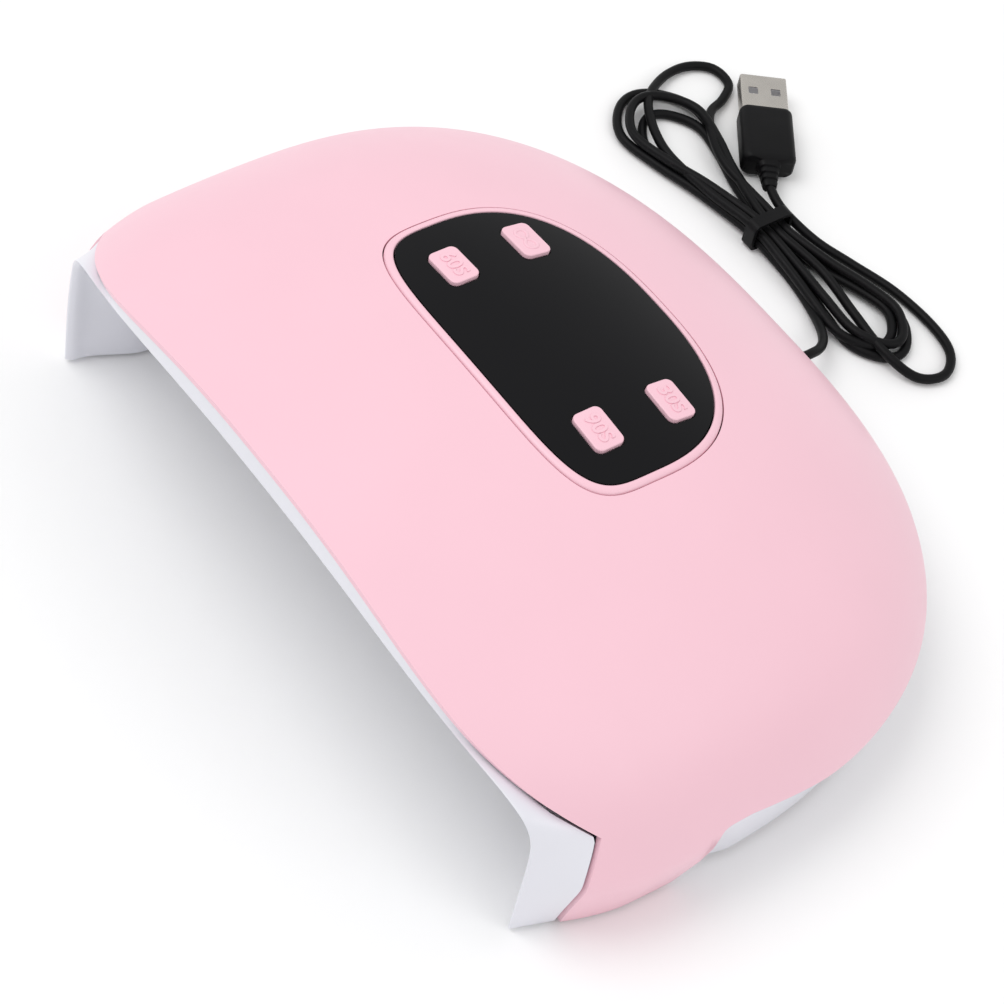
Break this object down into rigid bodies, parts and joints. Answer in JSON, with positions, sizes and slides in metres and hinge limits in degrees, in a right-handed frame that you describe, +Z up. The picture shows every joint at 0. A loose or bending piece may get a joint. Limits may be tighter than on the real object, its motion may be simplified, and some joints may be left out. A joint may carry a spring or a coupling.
{
  "type": "nail lamp",
  "caption": "Domed UV LED nail-curing lamp with an open hand cavity, a glossy top panel with push buttons, and a USB cord tied in a hank.",
  "frame": {"origin": "on the table, at the middle of the lamp's own width and depth, cord left out", "axes": "+X to the user's right, -Y out of the hand opening, +Z up"},
  "size_m": [0.197, 0.2154, 0.0628],
  "materials": {
    "pink_abs": "satin moulded plastic",
    "white_abs": "smooth moulded plastic",
    "black_gloss": "polished",
    "black_rubber": "matte",
    "green_board": "solder-masked board",
    "bare_steel": "plain",
    "clear_led": "clear moulded lens"
  },
  "bodies": {
    "lamp": {"top_cover": "pink_abs", "inner_liner": "white_abs", "panel_bezel": "pink_abs", "panel_window": "black_gloss", "switch_30s": "black_rubber", "switch_60s": "black_rubber", "switch_90s": "black_rubber", "switch_hold": "black_rubber", "control_board": "green_board", "digit_display": "black_gloss", "board_screw_front_left": "bare_steel", "board_screw_front_right": "bare_steel", "board_screw_rear_left": "bare_steel", "board_screw_rear_right": "bare_steel", "led_01": "clear_led", "led_02": "clear_led", "led_03": "clear_led", "led_04": "clear_led", "led_05": "clear_led", "led_06": "clear_led", "led_07": "clear_led", "led_08": "clear_led", "led_09": "clear_led", "led_10": "clear_led", "led_11": "clear_led", "led_12": "clear_led", "led_13": "clear_led", "led_14": "clear_led", "led_15": "clear_led", "led_16": "clear_led", "led_17": "clear_led", "led_18": "clear_led", "led_board_left": "green_board", "led_board_right": "green_board", "foot_front_left": "black_rubber", "foot_front_right": "black_rubber", "foot_rear_left": "black_rubber", "foot_rear_right": "black_rubber", "screw_front_left": "bare_steel", "screw_front_right": "bare_steel", "screw_rear_left": "bare_steel", "screw_rear_right": "bare_steel", "cord_gland": "black_rubber", "cord_lead": "black_rubber", "cord_hank": "black_rubber", "twist_tie": "black_rubber", "plug_body": "black_rubber", "plug_shell": "bare_steel", "plug_tongue": "white_abs"},
    "button_30s": {"button_30s": "pink_abs"},
    "button_60s": {"button_60s": "pink_abs"},
    "button_90s": {"button_90s": "pink_abs"},
    "button_hold": {"button_hold": "pink_abs"}
  },
  "joints": [
    {"name": "button_60s_press", "type": "slide", "parent": "lamp", "child": "button_60s", "axis": [0.076, -0.015, -0.997], "range_m": [0, 0.0004], "stiffness_N_per_m": 700},
    {"name": "button_90s_press", "type": "slide", "parent": "lamp", "child": "button_90s", "axis": [-0.076, -0.015, -0.997], "range_m": [0, 0.0004], "stiffness_N_per_m": 700},
    {"name": "button_hold_press", "type": "slide", "parent": "lamp", "child": "button_hold", "axis": [0.071, -0.1731, -0.9823], "range_m": [0, 0.0004], "stiffness_N_per_m": 700},
    {"name": "button_30s_press", "type": "slide", "parent": "lamp", "child": "button_30s", "axis": [-0.071, -0.1731, -0.9823], "range_m": [0, 0.0004], "stiffness_N_per_m": 700}
  ]
}
